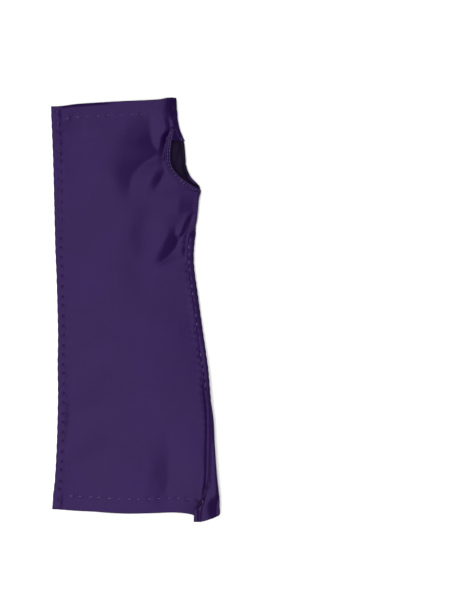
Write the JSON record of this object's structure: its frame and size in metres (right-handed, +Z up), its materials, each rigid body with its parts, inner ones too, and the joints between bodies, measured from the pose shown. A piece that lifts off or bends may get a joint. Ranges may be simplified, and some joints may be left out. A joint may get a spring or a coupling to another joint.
{
  "type": "long fingerless dress glove",
  "caption": "Long fingerless dress glove in satin, lying flat: a sewn tube with a thumb hole, open at the fingers and at the cuff.",
  "frame": {"origin": "middle of the glove in plan, on the surface that it lies on", "axes": "+X towards the thumb side, +Y from the cuff to the fingers, +Z up from the surface through the back of the hand"},
  "size_m": [0.1359, 0.3396, 0.014],
  "materials": {
    "satin": "deep violet duchesse satin with a soft sheen",
    "thread": "lighter violet sewing thread, pick stitched"
  },
  "bodies": {
    "root": {"back_panel": "satin", "palm_panel": "satin", "outer_seam": "satin", "thumb_seam_lower": "satin", "thumb_seam_upper": "satin", "thumb_binding": "satin", "back_finger_hem": "satin", "palm_finger_hem": "satin", "back_cuff_hem": "satin", "palm_cuff_hem": "satin"}
  },
  "joints": []
}
